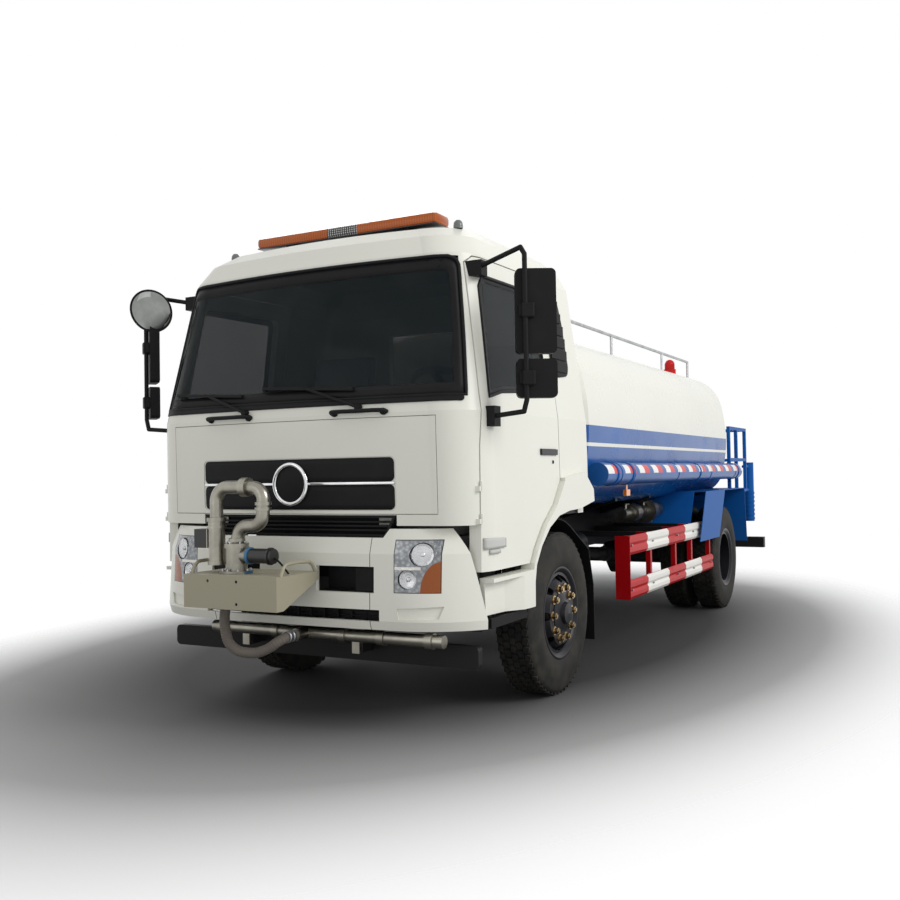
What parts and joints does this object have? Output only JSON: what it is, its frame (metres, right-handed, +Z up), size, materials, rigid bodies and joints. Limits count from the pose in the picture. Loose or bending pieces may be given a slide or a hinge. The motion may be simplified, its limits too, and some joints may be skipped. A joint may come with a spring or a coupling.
{
  "type": "water tanker truck",
  "caption": "Two-axle cab-over water tanker truck with a front water cannon, spray pipes, side guards and a railed rear work platform",
  "frame": {"origin": "on the ground, midway along the length and width of the truck", "axes": "+X forward, +Y to the vehicle's left, +Z up"},
  "size_m": [8.532, 3.0823, 3.06],
  "materials": {
    "amber_lens": "satin",
    "black_plastic": "satin",
    "blue_paint": "satin",
    "bright_steel": "satin",
    "casting": "satin",
    "chassis_paint": "satin",
    "fabric": "satin",
    "glass": "clear",
    "grey_paint": "satin",
    "hose_rubber": "satin",
    "lamp_lens": "satin",
    "red_lens": "satin",
    "red_paint": "satin",
    "trim": "satin",
    "tyre": "satin",
    "wheel_paint": "satin",
    "white_paint": "satin",
    "zinc": "satin"
  },
  "bodies": {
    "body": {"air_tanks": "chassis_paint", "axle_front": "casting", "axle_rear": "casting", "beacon": "red_lens", "bumper": "white_paint", "cab_floor": "trim", "cab_glass": "glass", "cab_shell": "white_paint", "cab_steps": "black_plastic", "cannon_base": "bright_steel", "cannon_tray": "grey_paint", "chassis_frame": "chassis_paint", "dashboard": "trim", "engine_block": "casting", "feed_hose": "hose_rubber", "front_lid": "white_paint", "fuel_tank": "bright_steel", "grille": "black_plastic", "headlamps": "lamp_lens", "hose_tubes": "blue_paint", "leaf_springs": "chassis_paint", "low_lamps": "red_lens", "manhole_collar": "white_paint", "mudguards_front": "black_plastic", "mudguards_rear": "blue_paint", "propeller_shaft": "casting", "rear_bumper": "chassis_paint", "rear_platform": "blue_paint", "roof_lamps": "amber_lens", "seats": "fabric", "side_guards": "red_paint", "side_skirts": "white_paint", "spray_pipes": "zinc", "tank": "white_paint", "tank_cradle": "chassis_paint", "tank_rail": "zinc", "underrun_board": "chassis_paint", "water_pump": "bright_steel", "wipers": "black_plastic"},
    "knuckle_left": {"knuckle_left": "casting"},
    "knuckle_right": {"knuckle_right": "casting"},
    "tie_rod": {"tie_rod": "casting"},
    "wheel_front_left": {"tyre_front_left": "tyre", "rim_front_left": "wheel_paint"},
    "wheel_front_right": {"tyre_front_right": "tyre", "rim_front_right": "wheel_paint"},
    "wheels_rear_left": {"tyres_rear_left": "tyre", "rims_rear_left": "wheel_paint"},
    "wheels_rear_right": {"tyres_rear_right": "tyre", "rims_rear_right": "wheel_paint"},
    "steering_wheel": {"steering_wheel": "black_plastic"},
    "door_left": {"door_left": "white_paint", "door_glass_left": "glass", "mirrors_left": "black_plastic"},
    "door_right": {"door_right": "white_paint", "door_glass_right": "glass", "mirrors_right": "black_plastic"},
    "cannon_loop": {"cannon_loop": "bright_steel"},
    "cannon_barrel": {"cannon_barrel": "bright_steel"},
    "manhole_lid": {"manhole_lid": "white_paint"}
  },
  "joints": [
    {"name": "steering", "type": "hinge", "parent": "body", "child": "knuckle_left", "pos_m": [2.45, 0.905, 0.527], "axis": [0, 0, 1], "range_deg": [-38, 38]},
    {"name": "steering_right", "type": "hinge", "parent": "body", "child": "knuckle_right", "pos_m": [2.45, -0.905, 0.527], "axis": [0, 0, 1], "range_deg": [-38, 38]},
    {"name": "tie_rod_eye", "type": "hinge", "parent": "knuckle_left", "child": "tie_rod", "pos_m": [2.3, 0.905, 0.4], "axis": [0, 0, 1], "range_deg": [-38, 38]},
    {"name": "steering_wheel_turn", "type": "hinge", "parent": "body", "child": "steering_wheel", "pos_m": [3.01, 0.6, 1.985], "axis": [-0.5299, 0, 0.848], "range_deg": [-700, 700]},
    {"name": "wheel_front_left_spin", "type": "hinge", "parent": "knuckle_left", "child": "wheel_front_left", "pos_m": [2.45, 1.011, 0.527], "axis": [0, 1, 0], "continuous": true},
    {"name": "wheel_front_right_spin", "type": "hinge", "parent": "knuckle_right", "child": "wheel_front_right", "pos_m": [2.45, -1.011, 0.527], "axis": [0, 1, 0], "continuous": true},
    {"name": "wheels_rear_left_spin", "type": "hinge", "parent": "body", "child": "wheels_rear_left", "pos_m": [-2.05, 0.913, 0.527], "axis": [0, 1, 0], "continuous": true},
    {"name": "wheels_rear_right_spin", "type": "hinge", "parent": "body", "child": "wheels_rear_right", "pos_m": [-2.05, -0.913, 0.527], "axis": [0, 1, 0], "continuous": true},
    {"name": "door_left_hinge", "type": "hinge", "parent": "body", "child": "door_left", "pos_m": [3.646, 1.156, 1.5], "axis": [0, 0, -1], "range_deg": [0, 70]},
    {"name": "door_right_hinge", "type": "hinge", "parent": "body", "child": "door_right", "pos_m": [3.646, -1.156, 1.5], "axis": [0, 0, 1], "range_deg": [0, 70]},
    {"name": "cannon_swivel", "type": "hinge", "parent": "body", "child": "cannon_loop", "pos_m": [4.13, -0.169, 1.06], "axis": [0, 0, 1], "range_deg": [-60, 60]},
    {"name": "cannon_elevation", "type": "hinge", "parent": "cannon_loop", "child": "cannon_barrel", "pos_m": [4.13, -0.109, 1.394], "axis": [0, -1, 0], "range_deg": [0, 120]},
    {"name": "manhole_lid_hinge", "type": "hinge", "parent": "body", "child": "manhole_lid", "pos_m": [0.258, 0, 2.708], "axis": [0, -1, 0], "range_deg": [0, 110]}
  ],
  "couplings": [
    {"joint": "steering_right", "follows": "steering", "ratio": 1},
    {"joint": "tie_rod_eye", "follows": "steering", "ratio": -1},
    {"joint": "steering_wheel_turn", "follows": "steering", "ratio": 18}
  ]
}
